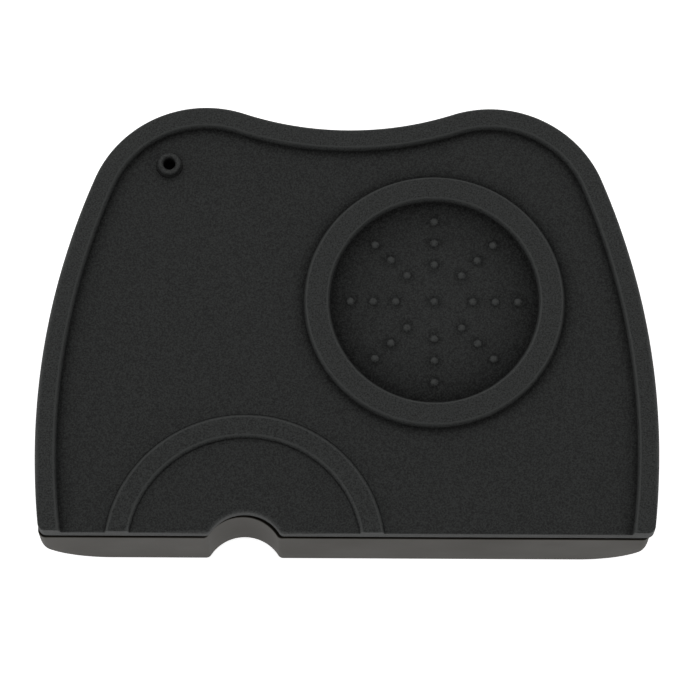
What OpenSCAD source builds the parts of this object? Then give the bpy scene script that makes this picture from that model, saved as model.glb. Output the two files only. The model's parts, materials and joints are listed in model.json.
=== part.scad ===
// Espresso tamping mat for the front edge of a worktop.
// A moulded rubber pad lies on the worktop, and a rubber bar bonded under its front
// edge hangs down in front of the worktop, so that the mat can't slide back.
// Millimetres, +Z up, X along the worktop's edge, front of the mat towards -Y.
// The origin is where the worktop's top face meets its front edge, at mid width.

/* [Mat] */
// Width at the widest place
mat_w = 200; // [190:1:215]
// Depth from the front face to the two back humps
mat_d = 142.5; // [135:0.5:150]
// Thickness of the pad between its ridges
mat_t = 6; // [5:0.5:8]
// How far behind the front face the widest place lies
widest_y = 30; // [24:1:36]
// Radius of the long curve of each side
side_r = 232.5; // [225:0.5:240]
// Radius of each back hump
hump_r = 39; // [36:0.5:42]
// Radius of the hollow between the humps
dip_r = 108; // [95:1:125]
// Radius of the two front corners, seen from above
corner_r = 2.5; // [1.5:0.5:4]

/* [Ridges] */
// Height of the rim, of the seat's ring and of the pen socket above the pad
ridge_h = 2.5; // [2:0.25:3.5]
// How far the foot of a ridge spreads beyond its top edge
ridge_slope = 0.9; // [0.5:0.1:1.5]
// Width of the rim round the sides and the back
rim_w = 6.2; // [5:0.1:8]

/* [Tamper seat] */
// Centre of the round seat, right of the middle
seat_x = 28; // [24:0.5:32]
// Centre of the round seat, behind the front face
seat_y = 77; // [72:0.5:80]
// Inner radius at the top of the seat's ring
seat_r = 34.5; // [31:0.5:36]
// Width of the ring's flat top
seat_w = 7; // [5:0.5:8]
// Number of circles of grip dots round the middle dot
dot_circles = 3; // [1:1:3]
// Radius of the innermost circle of dots
dot_circle_r = 12.5; // [10:0.5:14]
// Distance from one circle of dots to the next
dot_pitch = 7.3; // [6:0.1:7.5]
// Number of dots on each circle
dots_per_circle = 8; // [6:1:12]
// Diameter of a dot at its foot
dot_d = 2.8; // [2:0.1:3.5]
// Height of a dot
dot_h = 0.7; // [0.5:0.1:1]

/* [Portafilter rest] */
// Centre of the curved ridge and of the notch, left of the middle
rest_x = 32.5; // [30:0.5:35]
// How far that centre lies in front of the front face
rest_ahead = 6.1; // [4:0.1:8]
// Inner radius at the top of the curved ridge
rest_r = 38; // [35:0.5:40]
// Width of the curved ridge's flat top
rest_w = 6.3; // [5:0.1:8]
// Height of the curved ridge above the pad: it is lower than the others
rest_h = 1.6; // [1:0.1:2.5]
// Radius of the notch for the spouts
notch_r = 13; // [11:0.5:16]
// Radius of the notch's two rounded corners
notch_corner_r = 2; // [1:0.5:3]

/* [Pen socket] */
// Centre of the socket, left of the middle
socket_x = 58.5; // [54:0.5:62]
// Centre of the socket, behind the front face
socket_y = 123; // [118:0.5:124]
// Outer diameter of the socket's collar
socket_d = 8.2; // [7:0.1:10]
// Radius of the collar's top edge
socket_edge_r = 1; // [0.5:0.1:1.2]
// Diameter of the hole for the latte pen
bore_d = 4; // [3:0.1:5]
// Depth of the hole from the top of the collar
bore_depth = 7; // [5:0.5:7]
// Width of the bevel at the hole's mouth
bore_bevel = 0.5; // [0.3:0.1:0.6]

/* [Front bar] */
// Thickness of the bar, front to back
bar_t = 12; // [10:0.5:16]
// Length of the bar
bar_l = 196; // [190:1:200]
// How far the bar reaches below the worktop's top face
bar_drop = 30; // [26:1:36]
// Radius of the bar's two lower corners
bar_corner_r = 22; // [10:1:24]
// How far the bar is bonded off centre, to the left
bar_shift = 0.8; // [0:0.1:1.5]
// How far the bar's front stands proud of the pad's front
bar_proud = 0.3; // [0:0.1:0.6]

/* [Bond] */
// Thickness of the adhesive, and depth of the rebate under the pad that takes it
bond_t = 0.6; // [0.3:0.1:1]
// How far the adhesive stops short of the bar's edges
bond_inset = 1.5; // [1:0.5:2.5]

/* [Hidden] */
$fn = 96;
rubber = "#2b2d2c";
bar_rubber = "#34342f";
adhesive = "#0b0b0b";

top_z = mat_t + ridge_h;
front_y = bar_proud - bar_t;
past = 20; // how far a cutter runs past what it cuts

// Centres of the outline's arcs. Each arc is tangent to the next.
side_c = [mat_w / 2 - side_r, front_y + widest_y];
hump_y = front_y + mat_d - hump_r;
hump_c = [side_c.x + sqrt(pow(side_r - hump_r, 2) - pow(hump_y - side_c.y, 2)), hump_y];
dip_c = [0, hump_c.y + sqrt(pow(dip_r + hump_r, 2) - pow(hump_c.x, 2))];

// Directions from those centres to the tangent points, and to the side arc's end,
// which lies past the front face
side_end = atan2(hump_c.y - side_c.y, hump_c.x - side_c.x);
side_start = asin((front_y - past / 2 - side_c.y) / side_r);
hump_end = atan2(dip_c.y - hump_c.y, -hump_c.x);
dip_half = atan2(hump_c.x, dip_c.y - hump_c.y);

seat_c = [seat_x, front_y + seat_y];
rest_c = [-rest_x, front_y - rest_ahead];
socket_c = [-socket_x, front_y + socket_y];
dot_sphere_r = (pow(dot_d / 2, 2) + pow(dot_h, 2)) / (2 * dot_h);

function along(angle, r) = [r * cos(angle), r * sin(angle)];

// Points on an arc, without its first point
function arc_points(centre, r, from, to, steps) =
    [for (i = [1 : steps]) centre + along(from + (to - from) * i / steps, r)];

// The right half of the outline pulled in by inset, from past the front face to the
// bottom of the hollow at the back
function right_half(inset) = concat(
    arc_points(side_c, side_r - inset, side_start, side_end, 30),
    arc_points(hump_c, hump_r - inset, side_end, hump_end, 24),
    arc_points(dip_c, dip_r + inset, dip_half - 90, -90, 10)
);

// The whole outline: the right half, then the left half back to the front
function outline(inset) =
    let (right = right_half(inset), last = len(right) - 1)
    concat(right, [for (i = [last - 1 : -1 : 0]) [-right[i].x, right[i].y]]);

// Copies of the children on the right and, mirrored, on the left
module both_sides() {
    children();
    mirror([1, 0, 0]) children();
}

// The hollow between the rims. Its wall leans in from the rim's top edge down to the
// pad, and carries on upwards at the same slope past the rim's top
module field() {
    low = outline(rim_w + ridge_slope);
    high = outline(rim_w - ridge_slope);
    n = len(low);
    bottom = [for (p = low) [p.x, p.y, mat_t]];
    top = [for (p = high) [p.x, p.y, top_z + ridge_h]];
    wall = [for (i = [0 : n - 1]) [i, i + n, (i + 1) % n + n, (i + 1) % n]];
    polyhedron(
        concat(bottom, top),
        concat(wall, [[for (i = [0 : n - 1]) i]], [[for (i = [n - 1 : -1 : 0]) i + n]])
    );
}

// A ring-shaped ridge with a flat top and sloping walls, sunk a little into the pad
module ridge_ring(inner_r, top_w, height) {
    foot_z = mat_t - 1;
    flat_z = mat_t + height;
    outer_r = inner_r + top_w;
    rotate_extrude(angle = 360)
        polygon([
            [inner_r - ridge_slope, foot_z], [outer_r + ridge_slope, foot_z],
            [outer_r + ridge_slope, mat_t], [outer_r, flat_z],
            [inner_r, flat_z], [inner_r - ridge_slope, mat_t]
        ]);
}

// The domed grip dots on the seat's floor: one in the middle and three circles of them
module seat_dots() {
    translate([0, 0, mat_t + dot_h - dot_sphere_r]) {
        sphere(dot_sphere_r, $fn = 24);
        for (ring = [0 : dot_circles - 1], i = [0 : dots_per_circle - 1])
            translate(along(i * 360 / dots_per_circle, dot_circle_r + ring * dot_pitch))
                sphere(dot_sphere_r, $fn = 24);
    }
}

// The collar round the pen's hole, with a rounded outer top edge
module socket_collar() {
    collar_r = socket_d / 2;
    rotate_extrude(angle = 360) {
        square([collar_r - socket_edge_r, top_z]);
        square([collar_r, top_z - socket_edge_r]);
        translate([collar_r - socket_edge_r, top_z - socket_edge_r]) circle(socket_edge_r, $fn = 32);
    }
}

// The pen's blind hole and the bevel at its mouth
module pen_hole() {
    bore_r = bore_d / 2;
    translate([0, 0, top_z - bore_depth]) cylinder(h = bore_depth + 1, r = bore_r, $fn = 64);
    translate([0, 0, top_z - bore_bevel])
        cylinder(h = 2 * bore_bevel, r1 = bore_r, r2 = bore_r + 2 * bore_bevel, $fn = 64);
}

// The spout notch seen from above: a round bite whose two corners are rounded.
// grow widens it all round
module notch_plan(grow) {
    bite_r = notch_r + grow;
    edge_r = notch_corner_r - min(grow, notch_corner_r / 2);
    edge_y = rest_ahead + grow + edge_r;
    edge_x = sqrt(pow(bite_r + edge_r, 2) - pow(edge_y, 2));
    touch = bite_r / (bite_r + edge_r) * [edge_x, edge_y];
    translate(rest_c) {
        circle(bite_r);
        difference() {
            polygon([
                [-edge_x, -past], [edge_x, -past], [edge_x, edge_y], touch,
                [-touch.x, touch.y], [-edge_x, edge_y]
            ]);
            for (x = [-edge_x, edge_x]) translate([x, edge_y]) circle(edge_r, $fn = 48);
        }
    }
}

// What is cut off outside a rounded corner whose centre is at the origin and which
// points towards +X and +Y
module corner_waste(r, fn) {
    difference() {
        square(r + past);
        circle(r, $fn = fn);
    }
}

// What is cut off outside a front corner: the corner's rounding is tangent to the
// front face and to the side arc
module corner_offcut() {
    centre_y = front_y + corner_r;
    centre_x = side_c.x + sqrt(pow(side_r - corner_r, 2) - pow(centre_y - side_c.y, 2));
    centre = [centre_x, centre_y];
    out = centre - side_c;
    touch = centre + corner_r / norm(out) * out;
    difference() {
        polygon([centre, [centre_x, front_y - past], touch + [past, -past], touch + [past, 0], touch]);
        translate(centre) circle(corner_r, $fn = 48);
    }
}

// The moulded top: pad, rim, tamper seat, portafilter rest and pen socket in one piece.
// Its underside is flat, with a shallow rebate along the front for the bar
module top_mat() {
    color(rubber) difference() {
        union() {
            difference() {
                linear_extrude(top_z) polygon(outline(0));
                field();
            }
            translate(seat_c) ridge_ring(seat_r, seat_w, ridge_h);
            translate(seat_c) seat_dots();
            translate(rest_c) ridge_ring(rest_r, rest_w, rest_h);
            translate(socket_c) socket_collar();
        }
        translate([-mat_w, front_y - mat_d, -past]) cube([2 * mat_w, mat_d, top_z + 2 * past]);
        translate([-mat_w, -bar_t - past, -past]) cube([2 * mat_w, bar_t + past, past + bond_t]);
        translate([0, 0, -past])
            linear_extrude(top_z + 2 * past) {
                notch_plan(0);
                both_sides() corner_offcut();
            }
        translate(socket_c) pen_hole();
    }
}

// The layer of contact adhesive that holds the bar under the pad's front edge
module bond_layer() {
    layer_l = bar_l - 2 * corner_r;
    color(adhesive)
        linear_extrude(bond_t) difference() {
            translate([-bar_shift - layer_l / 2, bond_inset - bar_t])
                square([layer_l, bar_t - 2 * bond_inset]);
            translate([-bar_shift, -bar_proud]) notch_plan(bond_inset);
        }
}

// The bar seen from the front, its top edge on the X axis
module bar_front() {
    difference() {
        translate([-bar_l / 2, -bar_drop]) square([bar_l, bar_drop]);
        both_sides() translate([bar_l / 2 - bar_corner_r, bar_corner_r - bar_drop])
            mirror([0, 1, 0]) corner_waste(bar_corner_r, 96);
    }
}

// The bar seen from above, with its two front corners rounded
module bar_plan() {
    difference() {
        translate([-bar_l / 2, -bar_t]) square([bar_l, bar_t]);
        both_sides() translate([bar_l / 2 - corner_r, corner_r - bar_t])
            mirror([0, 1, 0]) corner_waste(corner_r, 48);
    }
}

// The rubber bar that hangs in front of the worktop, notched below the pad's notch
module edge_bar() {
    color(bar_rubber)
        translate([-bar_shift, 0, 0]) difference() {
            intersection() {
                translate([0, past / 2, 0]) rotate([90, 0, 0])
                    linear_extrude(bar_t + past) bar_front();
                translate([0, 0, -bar_drop]) linear_extrude(bar_drop + past) bar_plan();
            }
            translate([0, -bar_proud, -bar_drop - past])
                linear_extrude(bar_drop + 2 * past) notch_plan(0);
        }
}

top_mat();
bond_layer();
edge_bar();
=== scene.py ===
"""Looks of an espresso tamping mat, built round its CAD frame.

Metres, +Z up, X along the worktop's edge, front towards -Y. The plan sizes are in
millimetres, as a mould maker would write them, and become metres in the meshes.
"""
import json
import math

import bpy
import numpy as np
from mathutils import Matrix, Vector
from mathutils.geometry import delaunay_2d_cdt


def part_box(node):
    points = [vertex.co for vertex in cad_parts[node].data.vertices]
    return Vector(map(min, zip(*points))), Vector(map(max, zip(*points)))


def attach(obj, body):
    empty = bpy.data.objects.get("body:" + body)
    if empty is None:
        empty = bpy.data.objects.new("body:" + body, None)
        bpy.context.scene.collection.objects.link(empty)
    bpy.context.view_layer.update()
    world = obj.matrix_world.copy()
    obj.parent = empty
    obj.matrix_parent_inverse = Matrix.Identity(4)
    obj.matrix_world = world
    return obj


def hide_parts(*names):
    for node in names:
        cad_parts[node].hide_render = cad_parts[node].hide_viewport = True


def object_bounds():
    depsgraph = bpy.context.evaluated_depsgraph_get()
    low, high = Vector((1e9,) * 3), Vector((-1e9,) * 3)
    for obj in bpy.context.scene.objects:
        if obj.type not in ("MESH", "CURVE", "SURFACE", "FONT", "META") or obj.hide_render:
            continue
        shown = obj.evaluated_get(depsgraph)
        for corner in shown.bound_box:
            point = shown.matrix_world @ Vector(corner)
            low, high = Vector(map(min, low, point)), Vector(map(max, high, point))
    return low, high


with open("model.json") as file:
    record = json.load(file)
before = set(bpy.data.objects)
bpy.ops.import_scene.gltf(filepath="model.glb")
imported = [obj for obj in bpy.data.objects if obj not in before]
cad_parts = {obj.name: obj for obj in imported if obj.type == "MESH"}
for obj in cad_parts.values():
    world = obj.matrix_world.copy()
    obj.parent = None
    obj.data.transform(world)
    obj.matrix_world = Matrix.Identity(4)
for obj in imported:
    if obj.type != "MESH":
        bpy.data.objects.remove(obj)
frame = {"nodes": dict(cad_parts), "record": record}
cad_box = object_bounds()
mounts = {mount["name"]: mount for mount in frame["record"]["mounts"]}


# ---- Camera and studio -------------------------------------------------------------
# A long lens looks down steeply from the front, a hair off level. The mat is hooked over
# a short piece of pale worktop on a white sweep. One large softbox stands behind it and
# one at each side, the left one twice as strong.
MM = 0.001
CAMERA_TARGET = Vector((0.0008, 0.05067, 0.0))
CAMERA_DISTANCE = 1.230
CAMERA_ELEVATION = math.radians(74.37)
CAMERA_ROLL = math.radians(0.28)
CAMERA_LENS = 195.1
FLOOR_Z = cad_box[0][2] - 0.05 * MM
FLOOR_HALF = 6.0
WORKTOP_HALF_X = 0.072
WORKTOP_DEPTH = 0.118
WORKTOP_EDGE_R = 0.0008
WORKTOP_GAP = 0.0001
# The room's walls end and its ceiling starts at these sines of the elevation
WALLS_END, CEILING_START = 0.1, 0.3
CEILING_GLOW = 0.24

camera_data = bpy.data.cameras.new("camera")
camera_data.lens = CAMERA_LENS
camera_data.clip_end = 50
camera = bpy.data.objects.new("camera", camera_data)
camera.location = CAMERA_TARGET + CAMERA_DISTANCE * Vector(
    (0, -math.cos(CAMERA_ELEVATION), math.sin(CAMERA_ELEVATION))
)
camera_tilt = Matrix.Rotation(math.pi / 2 - CAMERA_ELEVATION, 3, "X")
camera.rotation_euler = (camera_tilt @ Matrix.Rotation(CAMERA_ROLL, 3, "Z")).to_euler()
bpy.context.scene.collection.objects.link(camera)
bpy.context.scene.camera = camera
bpy.context.scene.view_settings.view_transform = "Standard"


def linear(code):
    """An sRGB hex colour as the linear RGBA that shaders take."""
    share = np.array([int(code[i : i + 2], 16) for i in (1, 3, 5)]) / 255
    value = np.where(share <= 0.04045, share / 12.92, ((share + 0.055) / 1.055) ** 2.4)
    return (*value.tolist(), 1.0)


def add_node(tree, kind, inputs=(), **settings):
    """Adds one node with its settings. A value given to a socket is set, an output is linked."""
    made = tree.nodes.new(kind)
    for name, value in settings.items():
        setattr(made, name, value)
    for name, value in dict(inputs).items():
        if isinstance(value, bpy.types.NodeSocket):
            tree.links.new(value, made.inputs[name])
        else:
            made.inputs[name].default_value = value
    return made


def start_material(name):
    """A new material with an empty node tree."""
    made = bpy.data.materials.new(name)
    made.use_nodes = True
    made.node_tree.nodes.clear()
    return made, made.node_tree


# White sweep paper: dull, and lit so well that it shows as white
paper, tree = start_material("white_sweep_paper")
shader = add_node(
    tree,
    "ShaderNodeBsdfPrincipled",
    {
        "Base Color": linear("#f4f4f4"),
        "Roughness": 0.9,
        "Emission Color": linear("#ffffff"),
        "Emission Strength": 0.9,
    },
)
add_node(tree, "ShaderNodeOutputMaterial", {"Surface": shader.outputs["BSDF"]})

floor_data = bpy.data.meshes.new("floor")
floor_data.from_pydata(
    [(x * FLOOR_HALF, y * FLOOR_HALF, FLOOR_Z) for x, y in ((-1, -1), (1, -1), (1, 1), (-1, 1))],
    [],
    [(0, 1, 2, 3)],
)
floor_data.materials.append(paper)
floor = bpy.data.objects.new("floor", floor_data)
bpy.context.scene.collection.objects.link(floor)

# Laminate with a satin face, which shows as a plain pale block
laminate, tree = start_material("pale_laminate")
shader = add_node(
    tree, "ShaderNodeBsdfPrincipled", {"Base Color": linear("#dcdad5"), "Roughness": 0.45}
)
add_node(tree, "ShaderNodeOutputMaterial", {"Surface": shader.outputs["BSDF"]})

worktop_x = WORKTOP_HALF_X * np.array([-1, 1, 1, -1, -1, 1, 1, -1])
worktop_y = np.array([WORKTOP_GAP, WORKTOP_GAP, WORKTOP_DEPTH, WORKTOP_DEPTH] * 2)
worktop_z = np.repeat([FLOOR_Z, -WORKTOP_GAP], 4)
worktop_data = bpy.data.meshes.new("worktop")
worktop_data.from_pydata(
    np.column_stack([worktop_x, worktop_y, worktop_z]).tolist(),
    [],
    [(3, 2, 1, 0), (4, 5, 6, 7), (0, 1, 5, 4), (1, 2, 6, 5), (2, 3, 7, 6), (3, 0, 4, 7)],
)
worktop_data.materials.append(laminate)
worktop = bpy.data.objects.new("worktop", worktop_data)
bpy.context.scene.collection.objects.link(worktop)
edge = worktop.modifiers.new("edge", "BEVEL")
edge.width = WORKTOP_EDGE_R
edge.segments = 3

SOFTBOXES = (
    # name, place, width, height, watts
    ("softbox_back", (0.0, 1.15, 1.25), 1.6, 0.9, 5.5),
    ("softbox_left", (-1.3, -0.1, 0.6), 0.9, 1.0, 3.0),
    ("softbox_right", (1.3, -0.1, 0.6), 0.9, 1.0, 1.5),
)
for name, place, width, height, watts in SOFTBOXES:
    light_data = bpy.data.lights.new(name, "AREA")
    light_data.shape = "RECTANGLE"
    light_data.size = width
    light_data.size_y = height
    light_data.energy = watts
    light = bpy.data.objects.new(name, light_data)
    light.location = place
    aim = Vector((0, 0.05, 0)) - Vector(place)
    light.rotation_euler = aim.to_track_quat("-Z", "Y").to_euler()
    bpy.context.scene.collection.objects.link(light)

# The room: white walls up to a low height, and a dimmer ceiling
world = bpy.data.worlds.new("studio")
world.use_nodes = True
tree = world.node_tree
way = add_node(tree, "ShaderNodeTexCoord").outputs["Generated"]
rise = add_node(tree, "ShaderNodeSeparateXYZ", {"Vector": way}).outputs["Z"]
glow = add_node(
    tree,
    "ShaderNodeMapRange",
    {
        "Value": rise,
        "From Min": WALLS_END,
        "From Max": CEILING_START,
        "To Min": 1.0,
        "To Max": CEILING_GLOW,
    },
).outputs["Result"]
tree.links.new(glow, tree.nodes["Background"].inputs["Strength"])
tree.nodes["Background"].inputs["Color"].default_value = linear("#ffffff")
bpy.context.scene.world = world


# ---- Moulded top -------------------------------------------------------------------
# The pad with its rim, tamper ring, grip dots, portafilter rest and pen socket, all
# pressed in one piece from black rubber in a spark-eroded steel mould. Its underside
# is flat, with a shallow rebate along the front where the bar is bonded on.
MAT_W, MAT_D, MAT_T = 200.0, 142.5, 6.0
WIDEST_Y, SIDE_R, HUMP_R, DIP_R, CORNER_R = 30.0, 232.5, 39.0, 108.0, 2.5
RIDGE_H, RIDGE_SLOPE, RIM_W = 2.5, 0.9, 6.2
RIDGE_TOP_R, RIDGE_FOOT_R = 0.65, 0.55
SEAT_R, SEAT_W = 34.5, 7.0
DOT_CIRCLES, DOT_CIRCLE_R, DOT_PITCH, DOTS_PER_CIRCLE = 3, 12.5, 7.3, 8
DOT_R, DOT_H, DOT_FOOT, DOT_FOOT_H = 1.4, 0.7, 0.2, 0.07
REST_AHEAD, REST_R, REST_W, REST_H = 6.1, 38.0, 6.3, 1.6
NOTCH_R, NOTCH_CORNER_R = 13.0, 2.0
COLLAR_R, COLLAR_EDGE_R, COLLAR_FOOT_R = 4.1, 1.0, 0.35
BORE_R, BORE_DEPTH, BORE_BEVEL = 2.0, 7.0, 0.5
# How much the hole narrows downwards, and how much the collar's wall widens
BORE_DRAFT, COLLAR_DRAFT = 0.04, 0.02
REBATE, REBATE_RUN = 0.6, 0.05
FRONT_EDGE_R, NOTCH_EDGE_R, SIDE_EDGE_R, BACK_EDGE_R, UNDER_EDGE_R = 0.5, 1.9, 1.8, 1.0, 1.1
FRONT_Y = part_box("top_mat")[0].y / MM
# Distances behind the front face at which the outer edge's radius changes
EDGE_CHANGES = (4, 18, 95, 120)
# The notch's rounder edge is full this far from the notch's centre, and ends at the second
NOTCH_EDGE_FULL, NOTCH_EDGE_END = 16, 34
# Shares of rub on the pad and on the flat tops of the ridges and of the rest, of painted
# highlight on the ridges' top edges, and of rub with a painted highlight on a dot's crown
PAD_WEAR, RIDGE_TOP_WEAR, REST_TOP_WEAR, RIDGE_EDGE_HIGHLIGHT, DOT_RUB_AND_HIGHLIGHT = 0.375, 0.56, 0.50, 1.7, 2.0
# How far the painted shade reaches from a ridge's foot: on the pad, in the seat and at the rest
FOOT_SHADE_REACH, SEAT_SHADE_REACH, REST_SHADE_REACH = 1.3, 7.0, 0.15
WALL_WEAR, BEAD_WEAR = 0.28, 0.8
# A painted highlight line on a ridge's top edge, and a rubbed line on the collar's bead:
# where each is, from the edge or from the hole outwards, and its width
EDGE_HIGHLIGHT_LINE, EDGE_HIGHLIGHT_LINE_W = -0.12, 0.34
BEAD_LINE, BEAD_LINE_W = 0.9, 0.7
# The flat top's share fades out over the second, ending at the first beyond the top edge
FLAT_END, FLAT_FADE = 0.6, 0.4
# The shares of a dot's radius inside which its foot has the full painted shade, and where
# the rub and painted highlight of its crown end
DOT_FOOT_SHADE, DOT_CROWN_END = 0.6, 1.05
COLLAR_WEAR_END = 0.3
# Where the mesh has lines: in from the outline, on the ridges' flat tops and on the pad
# beside the ridges. Elsewhere the pad has points on a grid
EDGE_INSETS = (0.03, 0.1, 0.2, 0.35, 0.55, 0.8, 1.05, 1.35, 1.65, 1.9)
FLAT_STATIONS, PAD_STATIONS = (-1.5, -0.95, -0.7), (1.9, 2.6, 3.6)
GRID_STEP, OUTLINE_CLEAR, RIM_CLEAR, DOT_CLEAR = 2.0, 3.0, 4.6, 1.0
# These three are from the middle of a ring's width, and from the hole's centre
SEAT_CLEAR, REST_CLEAR, SOCKET_CLEAR = 8.0, 7.6, 7.0

seat_c = np.array(mounts["tamper_seat"]["pos_m"][:2]) / MM
socket_c = np.array(mounts["pen_socket"]["pos_m"][:2]) / MM
rest_c = np.array([mounts["portafilter_rest"]["pos_m"][0] / MM, FRONT_Y - REST_AHEAD])

# The outline's arcs: each is tangent to the next. Angles are in radians
side_c = np.array([MAT_W / 2 - SIDE_R, FRONT_Y + WIDEST_Y])
hump_y = FRONT_Y + MAT_D - HUMP_R
hump_x = side_c[0] + math.sqrt((SIDE_R - HUMP_R) ** 2 - (hump_y - side_c[1]) ** 2)
hump_c = np.array([hump_x, hump_y])
dip_c = np.array([0, hump_c[1] + math.sqrt((DIP_R + HUMP_R) ** 2 - hump_c[0] ** 2)])
side_end = math.atan2(hump_c[1] - side_c[1], hump_c[0] - side_c[0])
hump_end = math.atan2(dip_c[1] - hump_c[1], -hump_c[0])
dip_half = math.atan2(hump_c[0], dip_c[1] - hump_c[1])


def arc(centre, radius, start, end, step, hollow=False):
    """Points on an arc and their unit normals into the material.

    A point is the centre plus the radius along an angle that goes evenly from start to
    end in steps of about the given length. The normal points to the centre, or away
    from it where the arc is a hollow in the material's edge.
    """
    count = max(2, int(abs(end - start) * radius / step) + 1)
    angle = np.linspace(start, end, count)
    out = np.column_stack([np.cos(angle), np.sin(angle)])
    return np.asarray(centre) + radius * out, out if hollow else -out


def corner_and_side(corner_r, front):
    """Centre of the front corner's arc, and the angle at which it meets the side arc."""
    y = front + corner_r
    x = side_c[0] + math.sqrt((SIDE_R - corner_r) ** 2 - (y - side_c[1]) ** 2)
    return np.array([x, y]), math.atan2(y - side_c[1], x - side_c[0])


def mirrored(points, axis_x=0.0):
    """The same points in reverse order on the other side of a line along Y."""
    flipped = points[::-1] * (-1, 1)
    return flipped + (2 * axis_x, 0)


def notch_path(centre, step):
    """The spout notch, from the front line right of it to the front line left of it.

    The bite is a circle, and each corner is an arc tangent to both the bite and the
    front line. Returns points and normals.
    """
    edge_y = REST_AHEAD + NOTCH_CORNER_R
    edge_x = math.sqrt((NOTCH_R + NOTCH_CORNER_R) ** 2 - edge_y**2)
    meet = math.atan2(edge_y, edge_x)
    corner, corner_n = arc(
        centre + (edge_x, edge_y), NOTCH_CORNER_R, -math.pi / 2, meet - math.pi, step / 2
    )
    bite, bite_n = arc(centre, NOTCH_R, meet, math.pi / 2, step, hollow=True)
    half, half_n = np.vstack([corner, bite[1:]]), np.vstack([corner_n, bite_n[1:]])
    points = np.vstack([half, mirrored(half, centre[0])[1:]])
    return points, np.vstack([half_n, mirrored(half_n)[1:]])


def ridge_profile():
    """Stations across a ridge's wall: distance beyond its top edge, and height.

    The flat top turns over an arc into a straight sloping wall, and the wall turns
    over a smaller arc into the pad. Each arc is tangent to both its neighbours.
    """
    lean = math.atan2(RIDGE_H, RIDGE_SLOPE)
    top_run = RIDGE_TOP_R * math.tan(lean / 2)
    foot_run = RIDGE_FOOT_R * math.tan(lean / 2)
    turn = np.linspace(0, lean, 7)
    top_t = RIDGE_TOP_R * np.sin(turn) - top_run
    top_z = RIDGE_H - RIDGE_TOP_R * (1 - np.cos(turn))
    foot_t = RIDGE_SLOPE + foot_run - RIDGE_FOOT_R * np.sin(turn[::-1])
    foot_z = RIDGE_FOOT_R * (1 - np.cos(turn[::-1]))
    return np.concatenate([top_t, foot_t]), np.concatenate([top_z, foot_z])


def distance_to(path, points):
    """Distance of each point from the nearest of a path's straight pieces."""
    nearest = np.full(len(points), np.inf)
    for start, end in zip(path[:-1], path[1:]):
        along = end - start
        share = np.clip((points - start) @ along / (along @ along), 0, 1)
        gap = points - start - share[:, None] * along
        nearest = np.minimum(nearest, np.hypot(gap[:, 0], gap[:, 1]))
    return nearest


def edge_drop(depth, radius):
    """How far a rounded edge falls below the flat, at a depth in from the outline.

    A quarter circle: radius - sqrt(radius^2 - (radius - depth)^2), and none further in.
    """
    short = np.clip(radius - depth, 0, radius)
    return radius - np.sqrt(radius**2 - short**2)


# Faces that meet at more than this look creased. A wall has a narrow band at each end
SHARP_FROM = math.radians(38)
WALL_LIP = 0.1


def skin(name, outline, curves, loose, top, under, share, wall_share=0.0):
    """A closed solid over a plan, as one mesh in metres.

    The plan inside the outline is cut into triangles along the curves given. The upper
    face lifts each plan point to top(points), the lower one to under(points), and a
    wall joins them along the outline. It is triangles and not a grid, because the
    ridges' arcs cross the outline at all angles. share(points) gives the upper face a
    share for the material there, kept on the mesh: on the pad it is rub with painted
    shade and painted highlights in it, on the bar it is painted shade along the seam.
    The wall has one value all over.
    has one value all over.
    """
    chains = [np.vstack([outline, outline[:1]])] + curves
    starts = np.cumsum([0] + [len(chain) for chain in chains])
    edges = [
        first + np.column_stack([np.arange(len(chain) - 1), np.arange(1, len(chain))])
        for first, chain in zip(starts, chains)
    ]
    plan = np.vstack(chains + [loose])
    verts, _, faces, *_ = delaunay_2d_cdt(plan.tolist(), np.vstack(edges).tolist(), [], 1, 1e-5)
    plan = np.array(verts)
    faces = np.array(faces)
    a, b, c = plan[faces[:, 0]], plan[faces[:, 1]], plan[faces[:, 2]]
    turn = (b - a)[:, 0] * (c - a)[:, 1] - (b - a)[:, 1] * (c - a)[:, 0]
    faces[turn < 0] = faces[turn < 0][:, ::-1]

    # An edge that only one triangle has is on the outline
    sides = np.vstack([faces[:, [0, 1]], faces[:, [1, 2]], faces[:, [2, 0]]])
    code = np.sort(sides, axis=1) @ np.array([len(plan), 1])
    _, first, count = np.unique(code, return_index=True, return_counts=True)
    rim_edges = sides[first[count == 1]]
    rim = np.unique(rim_edges)
    place = np.zeros(len(plan), int)
    place[rim] = np.arange(len(rim))

    top_z, under_z = top(plan), under(plan)
    size, ring = len(plan), len(rim)
    points = np.vstack(
        [
            np.column_stack([plan, top_z]),
            np.column_stack([plan, under_z]),
            np.column_stack([plan[rim], top_z[rim] - WALL_LIP]),
            np.column_stack([plan[rim], under_z[rim] + WALL_LIP]),
        ]
    )
    upper = rim_edges
    lip = place[rim_edges] + 2 * size
    sill = lip + ring
    lower = rim_edges + size
    walls = [
        np.column_stack([low[:, 0], low[:, 1], high[:, 1], high[:, 0]])
        for high, low in ((upper, lip), (lip, sill), (sill, lower))
    ]
    made = bpy.data.meshes.new(name)
    made.from_pydata(
        (points * MM).tolist(),
        [],
        faces.tolist() + (faces[:, ::-1] + size).tolist() + np.vstack(walls).tolist(),
    )
    shares = np.full(len(points), wall_share, np.float32)
    shares[:size] = share(plan)
    made.attributes.new("share", "FLOAT", "POINT").data.foreach_set("value", shares)
    made.shade_smooth()
    made.set_sharp_from_angle(angle=SHARP_FROM)
    piece = bpy.data.objects.new(name, made)
    bpy.context.scene.collection.objects.link(piece)
    return piece


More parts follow.
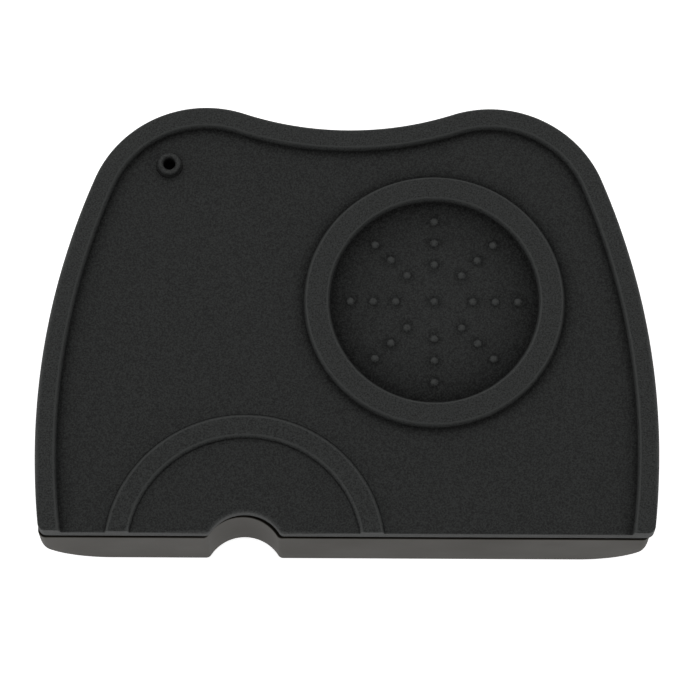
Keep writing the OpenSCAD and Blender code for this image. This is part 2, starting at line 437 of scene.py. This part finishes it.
def inside_curve(points, path, least):
    """The runs of a curve that lie inside a closed outline by at least a distance.

    A point is inside where a line along X from it crosses the outline an odd number of
    times.
    """
    closed = np.vstack([path, path[:1]])
    start, end = closed[:-1], closed[1:]
    above = start[None, :, 1] > points[:, None, 1]
    crosses = above != (end[None, :, 1] > points[:, None, 1])
    rise = np.where(end[:, 1] == start[:, 1], 1.0, end[:, 1] - start[:, 1])
    at_x = start[:, 0] + (points[:, None, 1] - start[:, 1]) * (end[:, 0] - start[:, 0]) / rise
    inner = (crosses & (points[:, None, 0] < at_x)).sum(1) % 2 == 1
    keep = inner & (distance_to(closed, points) > least)
    cuts = np.flatnonzero(np.diff(keep.astype(int))) + 1
    runs = zip(np.split(points, cuts), np.split(keep, cuts))
    return [run for run, ok in runs if ok[0] and len(run) > 1]


wall_t, wall_z = ridge_profile()

# Where the ridges' walls reach the front line, that line gets a point for each station
rest_radii = np.concatenate([REST_R - wall_t[::-1], REST_R + REST_W + wall_t])
rest_cross = np.sqrt(rest_radii**2 - REST_AHEAD**2)
rim_cross = side_c[0] + np.sqrt((SIDE_R - RIM_W - wall_t) ** 2 - (FRONT_Y - side_c[1]) ** 2)

corner_c, corner_end = corner_and_side(CORNER_R, FRONT_Y)
corner_p, corner_n = arc(corner_c, CORNER_R, -math.pi / 2, corner_end, 0.3)
side_p, side_n = arc(side_c, SIDE_R, corner_end, side_end, 1.6)
hump_p, hump_n = arc(hump_c, HUMP_R, side_end, hump_end, 1.2)
dip_p, dip_n = arc(dip_c, DIP_R, dip_half - math.pi / 2, -math.pi / 2, 1.6, hollow=True)
half_p = np.vstack([corner_p, side_p[1:], hump_p[1:], dip_p[1:]])
half_n = np.vstack([corner_n, side_n[1:], hump_n[1:], dip_n[1:]])
notch_p, notch_n = notch_path(rest_c, 0.5)


def front_line(from_x, to_x, y, extra_x, step=2.0):
    """Points along a line across, evenly spaced and at every extra place given.

    An extra place at an end is left out, and so is an even one beside an extra one.
    """
    even = np.linspace(from_x, to_x, int(abs(to_x - from_x) / step) + 2)
    extra = np.asarray(extra_x)
    low, high = min(from_x, to_x), max(from_x, to_x)
    extra = extra[(extra > low + 0.02) & (extra < high - 0.02)]
    even = even[np.abs(even[:, None] - extra[None, :]).min(axis=1, initial=9) > 0.05]
    xs = np.unique(np.concatenate([even, extra, [from_x, to_x]]))
    xs = xs if from_x < to_x else xs[::-1]
    return np.column_stack([xs, np.full(len(xs), y)]), np.tile([0.0, 1.0], (len(xs), 1))


crossings = np.concatenate(
    [rest_c[0] - rest_cross, rest_c[0] + rest_cross, rim_cross, -rim_cross]
)
right_line_p, right_line_n = front_line(notch_p[0, 0], corner_c[0], FRONT_Y, crossings)
left_line_p, left_line_n = front_line(-corner_c[0], notch_p[-1, 0], FRONT_Y, crossings)
# Anticlockwise from the notch: front line, right half, left half, front line, notch
mat_outline = np.vstack(
    [right_line_p, half_p[1:], mirrored(half_p)[1:], left_line_p[1:], notch_p[::-1][1:-1]]
)
mat_normals = np.vstack(
    [right_line_n, half_n[1:], mirrored(half_n)[1:], left_line_n[1:], notch_n[::-1][1:-1]]
)

# The path that the rim follows: the outline without its front, run on past it
RUN_PAST = 0.06
past_side, _ = arc(side_c, SIDE_R, corner_end - RUN_PAST, side_end, 1.2)
rim_half = np.vstack([past_side, hump_p[1:], dip_p[1:]])
rim_path = np.vstack([rim_half, mirrored(rim_half)[1:]])
rim_half_n = np.vstack([(side_c - past_side) / SIDE_R, hump_n[1:], dip_n[1:]])
rim_normals = np.vstack([rim_half_n, mirrored(rim_half_n)[1:]])

# A dot is a cap of a sphere with a small foot: stations are radius and height
dot_sphere = (DOT_R**2 + DOT_H**2) / (2 * DOT_H)
dot_radii = np.array([0, 0.35, 0.7, 1.0, 1.22, DOT_R, DOT_R + DOT_FOOT, DOT_R + 1.2 * DOT_FOOT])
dot_z = np.append(DOT_H - dot_sphere + np.sqrt(dot_sphere**2 - dot_radii[:-2] ** 2), [0, 0])
dot_z[-3] = DOT_FOOT_H

# The collar: hole, bevel, bead and foot
bead = np.linspace(0, math.pi / 2, 7)
foot = np.linspace(0, math.pi / 2, 5)
collar_radii = np.concatenate(
    [
        [0, BORE_R - BORE_DRAFT, BORE_R, BORE_R + BORE_BEVEL],
        COLLAR_R - COLLAR_EDGE_R + COLLAR_EDGE_R * np.sin(bead),
        COLLAR_R + COLLAR_DRAFT + COLLAR_FOOT_R * (1 - np.cos(foot)),
    ]
)
collar_z = np.concatenate(
    [
        np.array([RIDGE_H - BORE_DEPTH, RIDGE_H - BORE_DEPTH, RIDGE_H - BORE_BEVEL, RIDGE_H]),
        RIDGE_H - COLLAR_EDGE_R * (1 - np.cos(bead)),
        COLLAR_FOOT_R * (1 - np.sin(foot)),
    ]
)

dot_angles = np.arange(DOTS_PER_CIRCLE) * 2 * math.pi / DOTS_PER_CIRCLE
dot_spokes = DOT_CIRCLE_R + DOT_PITCH * np.arange(DOT_CIRCLES)
dot_places = np.vstack(
    [[seat_c]]
    + [
        seat_c + spoke * np.column_stack([np.cos(dot_angles), np.sin(dot_angles)])
        for spoke in dot_spokes
    ]
)


def radius_from(centre, points):
    """Distance of each point from a centre."""
    return np.hypot(*(points - centre).T)


def ring_height(from_centre, inner, width, height):
    """Height of a round ridge: its wall profile, by the distance outside its flat top."""
    beyond = np.abs(from_centre - inner - width / 2) - width / 2
    return height * np.interp(beyond, wall_t, wall_z / RIDGE_H, left=1, right=0)


def edge_radius(points):
    """Radius of the top's outer edge: tight along the front, softer round the sides.

    It changes with the distance behind the front face, in straight steps. Round the
    notch the edge rolls over most.
    """
    radii = (FRONT_EDGE_R, SIDE_EDGE_R, SIDE_EDGE_R, BACK_EDGE_R)
    radius = np.interp(points[:, 1] - FRONT_Y, EDGE_CHANGES, radii)
    near = np.interp(radius_from(rest_c, points), (NOTCH_EDGE_FULL, NOTCH_EDGE_END), (1, 0))
    near = near * near * (3 - 2 * near)
    return radius + (NOTCH_EDGE_R - radius) * near


def mat_top(points):
    """Height of the moulded top: pad, plus whichever ridge, dot or collar is there.

    Every raised feature is a profile over a distance: from the rim's path, from the
    centre of a ring, of a dot or of the collar. The rounded outer edge is taken off.
    """
    rim_beyond = distance_to(rim_path, points) - RIM_W
    height = np.interp(rim_beyond, wall_t, wall_z, left=RIDGE_H, right=0)
    seat = ring_height(radius_from(seat_c, points), SEAT_R, SEAT_W, RIDGE_H)
    rest = ring_height(radius_from(rest_c, points), REST_R, REST_W, REST_H)
    height = np.maximum(height, np.maximum(seat, rest))
    for place in dot_places:
        dot = np.interp(radius_from(place, points), dot_radii, dot_z, right=0)
        height = np.maximum(height, dot)
    from_socket = radius_from(socket_c, points)
    collar = np.interp(from_socket, collar_radii, collar_z, right=0)
    height = np.where(from_socket <= collar_radii[-1], collar, height)
    closed = np.vstack([mat_outline, mat_outline[:1]])
    return MAT_T + height - edge_drop(distance_to(closed, points), edge_radius(points))


def mat_rub_and_painted_light(points):
    """How rubbed the top is, with painted shade and painted highlights in the same share.

    On the pad it rises from nothing at a ridge's foot to its full share, as one less an
    exponential of the distance; the low share near the foot is painted shade. A ridge's
    flat top has one share. Its edge is a painted highlight, a bell curve of the distance
    from its top edge line, and the collar's bead has a rubbed line of the same curve. A
    dot has most in its middle, rub with a painted highlight, and its foot has none,
    which is painted shade.
    """
    from_seat = radius_from(seat_c, points)
    beyonds = [
        distance_to(rim_path, points) - RIM_W,
        np.abs(from_seat - SEAT_R - SEAT_W / 2) - SEAT_W / 2,
        np.abs(radius_from(rest_c, points) - REST_R - REST_W / 2) - REST_W / 2,
    ]
    nearest = np.min(beyonds, axis=0)
    # Painted shade: the share stays low near a ridge's foot, and reaches furthest in the seat
    reach = np.where(beyonds[2] == nearest, REST_SHADE_REACH, FOOT_SHADE_REACH)
    reach = np.where(from_seat < SEAT_R, SEAT_SHADE_REACH, reach)
    rub_and_painted_light = PAD_WEAR * (1 - np.exp(-np.clip(nearest - RIDGE_SLOPE, 0, None) / reach))
    top_share = np.where(beyonds[2] < 1, REST_TOP_WEAR, RIDGE_TOP_WEAR)
    flat = top_share * np.clip((FLAT_END - nearest) / FLAT_FADE, 0, 1)
    # Painted highlight: a bright line along a ridge's top edge
    edge = RIDGE_EDGE_HIGHLIGHT * np.exp(-(((nearest - EDGE_HIGHLIGHT_LINE) / EDGE_HIGHLIGHT_LINE_W) ** 2))
    rub_and_painted_light = np.maximum(rub_and_painted_light, np.maximum(flat, edge))
    for place in dot_places:
        share = radius_from(place, points) / DOT_R
        # Painted shade round a dot's foot, and rub with a painted highlight on its crown
        rub_and_painted_light = rub_and_painted_light * np.clip(share - DOT_FOOT_SHADE, 0, 1)
        rub_and_painted_light = np.maximum(rub_and_painted_light, DOT_RUB_AND_HIGHLIGHT * np.clip(DOT_CROWN_END - share, 0, 1))
    from_socket = radius_from(socket_c, points)
    bead_wear = BEAD_WEAR * np.exp(-(((from_socket - BORE_R - BEAD_LINE) / BEAD_LINE_W) ** 2))
    return np.where(from_socket < COLLAR_R + COLLAR_WEAR_END, bead_wear, rub_and_painted_light)


def mat_under(points):
    """Height of the underside: flat, raised by the rebate in front of the worktop's edge."""
    closed = np.vstack([mat_outline, mat_outline[:1]])
    rebate = REBATE * np.clip(-points[:, 1] / REBATE_RUN, 0, 1)
    return rebate + edge_drop(distance_to(closed, points), UNDER_EDGE_R)


full_turn = (0, 2 * math.pi)
mat_curves = []
for inset in EDGE_INSETS:
    loop = mat_outline + inset * mat_normals
    mat_curves.append(np.vstack([loop, loop[:1]]))
for beyond in np.concatenate([FLAT_STATIONS, wall_t, PAD_STATIONS]):
    mat_curves += inside_curve(rim_path + (RIM_W + beyond) * rim_normals, mat_outline, 0.015)
    for radius in (SEAT_R - beyond, SEAT_R + SEAT_W + beyond):
        mat_curves.append(arc(seat_c, radius, *full_turn, 1.1)[0])
    for radius in (REST_R - beyond, REST_R + REST_W + beyond):
        mat_curves += inside_curve(arc(rest_c, radius, 0, math.pi, 1.1)[0], mat_outline, 0.015)
for place in dot_places:
    mat_curves += [arc(place, radius, *full_turn, 0.45)[0] for radius in dot_radii[1:]]
for radius in np.unique(np.round(collar_radii[1:], 4)):
    mat_curves.append(arc(socket_c, radius, *full_turn, 0.35)[0])
across = np.linspace(-110, 110, 111)
for step_y in (-REBATE_RUN, 0.0):
    line = np.column_stack([across, np.full_like(across, step_y)])
    mat_curves += inside_curve(line, mat_outline, 0.05)

# The grid's points keep clear of the lines above
grid_x, grid_y = np.meshgrid(
    np.arange(-MAT_W / 2, MAT_W / 2 + 1, GRID_STEP), np.arange(FRONT_Y, FRONT_Y + MAT_D, GRID_STEP)
)
grid = np.column_stack([grid_x.ravel(), grid_y.ravel()])
grid = grid[distance_to(rim_path, grid) > RIM_W + RIM_CLEAR]
grid = np.vstack(inside_curve(grid, mat_outline, OUTLINE_CLEAR))
clear = np.abs(radius_from(seat_c, grid) - SEAT_R - SEAT_W / 2) > SEAT_CLEAR
clear &= np.abs(radius_from(rest_c, grid) - REST_R - REST_W / 2) > REST_CLEAR
clear &= radius_from(socket_c, grid) > SOCKET_CLEAR
clear &= np.min([radius_from(place, grid) for place in dot_places], axis=0) > DOT_R + DOT_CLEAR
top_mat = skin(
    "moulded_top", mat_outline, mat_curves, grid[clear], mat_top, mat_under, mat_rub_and_painted_light, WALL_WEAR
)


# Nitrile rubber pressed in a spark-eroded mould. To the eye it is a deep, slightly
# cool black with a fine dull grain, a little uneven where the stock flowed
pad_rubber, tree = start_material("pressed_nitrile_rubber")
place = add_node(tree, "ShaderNodeTexCoord").outputs["Object"]
# Real grain is about 0.1 mm; it is drawn at 0.5 mm, the finest that shows
grain = add_node(
    tree, "ShaderNodeTexNoise", {"Vector": place, "Scale": 1900.0, "Detail": 2.0, "Roughness": 0.7}
).outputs["Fac"]
flow = add_node(
    tree, "ShaderNodeTexNoise", {"Vector": place, "Scale": 45.0, "Detail": 4.0, "Roughness": 0.55}
).outputs["Fac"]
flow_share = add_node(
    tree, "ShaderNodeMapRange", {"Value": flow, "From Min": 0.35, "From Max": 0.65}
).outputs["Result"]
black = add_node(tree, "ShaderNodeMix", {"Factor": flow_share}, data_type="RGBA")
black.inputs[6].default_value = linear("#020202")
black.inputs[7].default_value = linear("#080808")
# Filler shows as a fine salt-and-pepper speckle, drawn at the size of the grain
speck_share = add_node(
    tree, "ShaderNodeMapRange", {"Value": grain, "From Min": 0.42, "From Max": 0.7, "To Max": 0.6}
).outputs["Result"]
speck = add_node(
    tree, "ShaderNodeMix", {"Factor": speck_share, 6: black.outputs[2]}, data_type="RGBA"
)
speck.inputs[7].default_value = linear("#3a3c3b")
dull = add_node(
    tree,
    "ShaderNodeMapRange",
    {"Value": grain, "From Min": 0.3, "From Max": 0.7, "To Min": 0.62, "To Max": 0.78},
).outputs["Result"]
bump = add_node(
    tree, "ShaderNodeBump", {"Height": grain, "Strength": 0.8, "Distance": 0.00016}
).outputs["Normal"]
# Rubbed rubber is greyer. The same share holds painted shade at the ridges' feet and in the
# seat, and painted highlights on the ridges' top edges and the dots' crowns. The rub is
# patchy at the size of the grain
rub_and_painted_light = add_node(tree, "ShaderNodeAttribute", attribute_name="share").outputs["Fac"]
patchy = add_node(
    tree,
    "ShaderNodeMapRange",
    {"Value": grain, "From Min": 0.3, "From Max": 0.7, "To Min": 0.25, "To Max": 1.75},
).outputs["Result"]
patchy_rub_and_painted_light = add_node(tree, "ShaderNodeMath", {0: rub_and_painted_light, 1: patchy}, operation="MULTIPLY").outputs[0]
rub_and_painted_light_tone = add_node(
    tree, "ShaderNodeMix", {"Factor": patchy_rub_and_painted_light, 6: speck.outputs[2]}, data_type="RGBA"
)
rub_and_painted_light_tone.inputs[7].default_value = linear("#484a49")
# The bloom left in the corners is the dullest: the roughness rises where the share falls,
# in the painted shade at the ridges' feet and in the seat
bloom = add_node(
    tree, "ShaderNodeMapRange", {"Value": rub_and_painted_light, "From Max": PAD_WEAR, "To Min": 1.0, "To Max": 0.0}
).outputs["Result"]
matt = add_node(tree, "ShaderNodeMix", {"Factor": bloom, 2: dull, 3: 1.0}).outputs[0]
shader = add_node(
    tree,
    "ShaderNodeBsdfPrincipled",
    {
        "Base Color": rub_and_painted_light_tone.outputs[2],
        "Roughness": matt,
        "IOR": 1.52,
        "Specular IOR Level": 0.34,
        "Normal": bump,
    },
)
add_node(tree, "ShaderNodeOutputMaterial", {"Surface": shader.outputs["BSDF"]})
top_mat.data.materials.append(pad_rubber)
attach(top_mat, "root")
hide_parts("top_mat")


# ---- Adhesive layer ----------------------------------------------------------------
# A thin film of black contact adhesive, brushed on, that bonds the bar into the
# rebate. It stops short of the edges, so only a dark line is seen from outside.
contact_adhesive, tree = start_material("cured_contact_adhesive")
place = add_node(tree, "ShaderNodeTexCoord").outputs["Object"]
# Brush drag: streaks about 1.5 mm apart along the bar
stretch = add_node(
    tree, "ShaderNodeMapping", {"Vector": place, "Scale": (0.15, 1.0, 1.0)}
).outputs["Vector"]
streak = add_node(
    tree, "ShaderNodeTexNoise", {"Vector": stretch, "Scale": 650.0, "Detail": 3.0}
).outputs["Fac"]
tone = add_node(tree, "ShaderNodeMix", {"Factor": streak}, data_type="RGBA")
tone.inputs[6].default_value = linear("#090909")
tone.inputs[7].default_value = linear("#131211")
bump = add_node(
    tree, "ShaderNodeBump", {"Height": streak, "Strength": 0.4, "Distance": 0.0001}
).outputs["Normal"]
shader = add_node(
    tree,
    "ShaderNodeBsdfPrincipled",
    {"Base Color": tone.outputs[2], "Roughness": 0.5, "IOR": 1.5, "Normal": bump},
)
add_node(tree, "ShaderNodeOutputMaterial", {"Surface": shader.outputs["BSDF"]})
bond = frame["nodes"]["bond_layer"]
bond.data.materials.clear()
bond.data.materials.append(contact_adhesive)


# ---- Front bar ---------------------------------------------------------------------
# A separate bar of moulded black rubber, bonded under the front edge so that it hangs
# in front of the worktop. Its lower corners are well rounded and it is smoother than
# the pad. It is bonded a little to the left and a little proud.
BAR_T, BAR_L, BAR_DROP, BAR_CORNER_R = 12.0, 196.0, 30.0, 22.0
BAR_SHIFT, BAR_PROUD = 0.8, 0.3
BAR_TOP_EDGE_R, BAR_LOWER_EDGE_R, BAR_BACK_CORNER_R = 0.65, 1.0, 0.4
BAR_INSETS = (0.03, 0.1, 0.2, 0.35)
# First place, last place and count of the bar's inner mesh points, along it and across it
BAR_GRID_X, BAR_GRID_Y = (-97, 95, 129), (-11.4, -0.6, 15)
# The painted seam shade starts this far in from the outline, and is full after the second
SEAM_SHADE_START, SEAM_SHADE_RISE = 0.05, 0.12

bar_front = -BAR_T
bar_notch_c = rest_c + (-BAR_SHIFT, -BAR_PROUD)
half_l = BAR_L / 2
flat_half = half_l - BAR_CORNER_R
# Stations along the two lower corners, evenly spaced in angle
bend = np.linspace(0, math.pi / 2, 28)[:-1]
bend_x = flat_half + BAR_CORNER_R * np.sin(bend)
bend_x = np.concatenate([-BAR_SHIFT - bend_x, -BAR_SHIFT + bend_x])

right_x, left_x = half_l - BAR_SHIFT, -half_l - BAR_SHIFT
front_corner_p, front_corner_n = arc(
    (right_x - CORNER_R, bar_front + CORNER_R), CORNER_R, -math.pi / 2, 0, 0.15
)
back_corner_p, back_corner_n = arc(
    (right_x - BAR_BACK_CORNER_R, -BAR_BACK_CORNER_R), BAR_BACK_CORNER_R, 0, math.pi / 2, 0.1
)
bar_notch_p, bar_notch_n = notch_path(bar_notch_c, 0.5)
bar_right_p, bar_right_n = front_line(bar_notch_p[0, 0], right_x - CORNER_R, bar_front, bend_x)
bar_left_p, bar_left_n = front_line(left_x + CORNER_R, bar_notch_p[-1, 0], bar_front, bend_x)
bar_back_p, bar_back_n = front_line(
    right_x - BAR_BACK_CORNER_R, left_x + BAR_BACK_CORNER_R, 0, bend_x
)
ends_p = np.vstack([front_corner_p, back_corner_p])
ends_n = np.vstack([front_corner_n, back_corner_n])
bar_outline = np.vstack(
    [
        bar_right_p,
        ends_p[1:],
        bar_back_p[1:-1],
        mirrored(ends_p, -BAR_SHIFT)[:-1],
        bar_left_p,
        bar_notch_p[::-1][1:-1],
    ]
)
bar_normals = np.vstack(
    [
        bar_right_n,
        ends_n[1:],
        -bar_back_n[1:-1],
        mirrored(ends_n)[:-1],
        bar_left_n,
        bar_notch_n[::-1][1:-1],
    ]
)


def bar_top(points):
    """Height of the bar's top: flat, with a small rounded edge all round."""
    closed = np.vstack([bar_outline, bar_outline[:1]])
    return -edge_drop(distance_to(closed, points), BAR_TOP_EDGE_R)


def bar_under(points):
    """Height of the bar's lower side: flat, rising over a quarter circle at both ends."""
    closed = np.vstack([bar_outline, bar_outline[:1]])
    reach = np.clip(np.abs(points[:, 0] + BAR_SHIFT) - flat_half, 0, BAR_CORNER_R)
    rise = BAR_CORNER_R - np.sqrt(BAR_CORNER_R**2 - reach**2)
    return rise - BAR_DROP + edge_drop(distance_to(closed, points), BAR_LOWER_EDGE_R)


def bar_seam_shade(points):
    """Share of painted seam shade on the bar's top: full, but for a straight fall to its edge."""
    closed = np.vstack([bar_outline, bar_outline[:1]])
    return np.clip((distance_to(closed, points) - SEAM_SHADE_START) / SEAM_SHADE_RISE, 0, 1)


bar_curves = []
for inset in BAR_INSETS:
    loop = bar_outline + inset * bar_normals
    bar_curves.append(np.vstack([loop, loop[:1]]))
for station in bend_x:
    line = np.column_stack([np.full(40, station), np.linspace(bar_front - 0.2, 0.2, 40)])
    bar_curves += inside_curve(line, bar_outline, 0.05)
bar_loose_x, bar_loose_y = np.meshgrid(np.linspace(*BAR_GRID_X), np.linspace(*BAR_GRID_Y))
bar_loose = np.column_stack([bar_loose_x.ravel(), bar_loose_y.ravel()])
bar_loose = np.vstack(inside_curve(bar_loose, bar_outline, 0.45))
edge_bar = skin("front_bar", bar_outline, bar_curves, bar_loose, bar_top, bar_under, bar_seam_shade)

# Nitrile rubber from a smoother mould: a slightly warm, slightly shinier black that picks up
# the white round it at a low angle. The warm tint of its reflections is a painted warm
# reflection, standing in for warm surroundings
bar_rubber, tree = start_material("moulded_bar_rubber")
place = add_node(tree, "ShaderNodeTexCoord").outputs["Object"]
# The satin of the mould, really under 0.1 mm, is drawn at 0.6 mm
satin = add_node(
    tree, "ShaderNodeTexNoise", {"Vector": place, "Scale": 1700.0, "Detail": 2.0}
).outputs["Fac"]
smear = add_node(
    tree, "ShaderNodeTexNoise", {"Vector": place, "Scale": 30.0, "Detail": 3.0}
).outputs["Fac"]
# Fine lines left along the bar by the cutter that shaped the mould, about 0.7 mm apart
drawn = add_node(
    tree, "ShaderNodeMapping", {"Vector": place, "Scale": (0.03, 1.0, 1.0)}
).outputs["Vector"]
lines = add_node(
    tree, "ShaderNodeTexNoise", {"Vector": drawn, "Scale": 1400.0, "Detail": 1.0}
).outputs["Fac"]
relief = add_node(tree, "ShaderNodeMix", {"Factor": 0.4, 2: satin, 3: lines}).outputs[0]
tone = add_node(tree, "ShaderNodeMix", {"Factor": smear}, data_type="RGBA")
tone.inputs[6].default_value = linear("#1a1a19")
tone.inputs[7].default_value = linear("#201f1e")
# Painted shade along the seam: the share turns the bar's top and its top edge black
seam_shade = add_node(tree, "ShaderNodeAttribute", attribute_name="share").outputs["Fac"]
tone = add_node(tree, "ShaderNodeMix", {"Factor": seam_shade, 6: tone.outputs[2]}, data_type="RGBA")
tone.inputs[7].default_value = linear("#000000")
sheen = add_node(
    tree,
    "ShaderNodeMapRange",
    {"Value": smear, "From Min": 0.3, "From Max": 0.7, "To Min": 0.6, "To Max": 0.7},
).outputs["Result"]
sheen = add_node(tree, "ShaderNodeMix", {"Factor": seam_shade, 2: sheen, 3: 1.0}).outputs[0]
bump = add_node(
    tree, "ShaderNodeBump", {"Height": relief, "Strength": 0.35, "Distance": 0.0001}
).outputs["Normal"]
shader = add_node(
    tree,
    "ShaderNodeBsdfPrincipled",
    {
        "Base Color": tone.outputs[2],
        "Roughness": sheen,
        "IOR": 1.52,
        "Specular IOR Level": 0.34,
        # Painted warm reflection: this tint stands in for warm surroundings
        "Specular Tint": linear("#fff2da"),
        "Normal": bump,
    },
)
add_node(tree, "ShaderNodeOutputMaterial", {"Surface": shader.outputs["BSDF"]})
edge_bar.data.materials.append(bar_rubber)
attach(edge_bar, "root")
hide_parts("edge_bar")
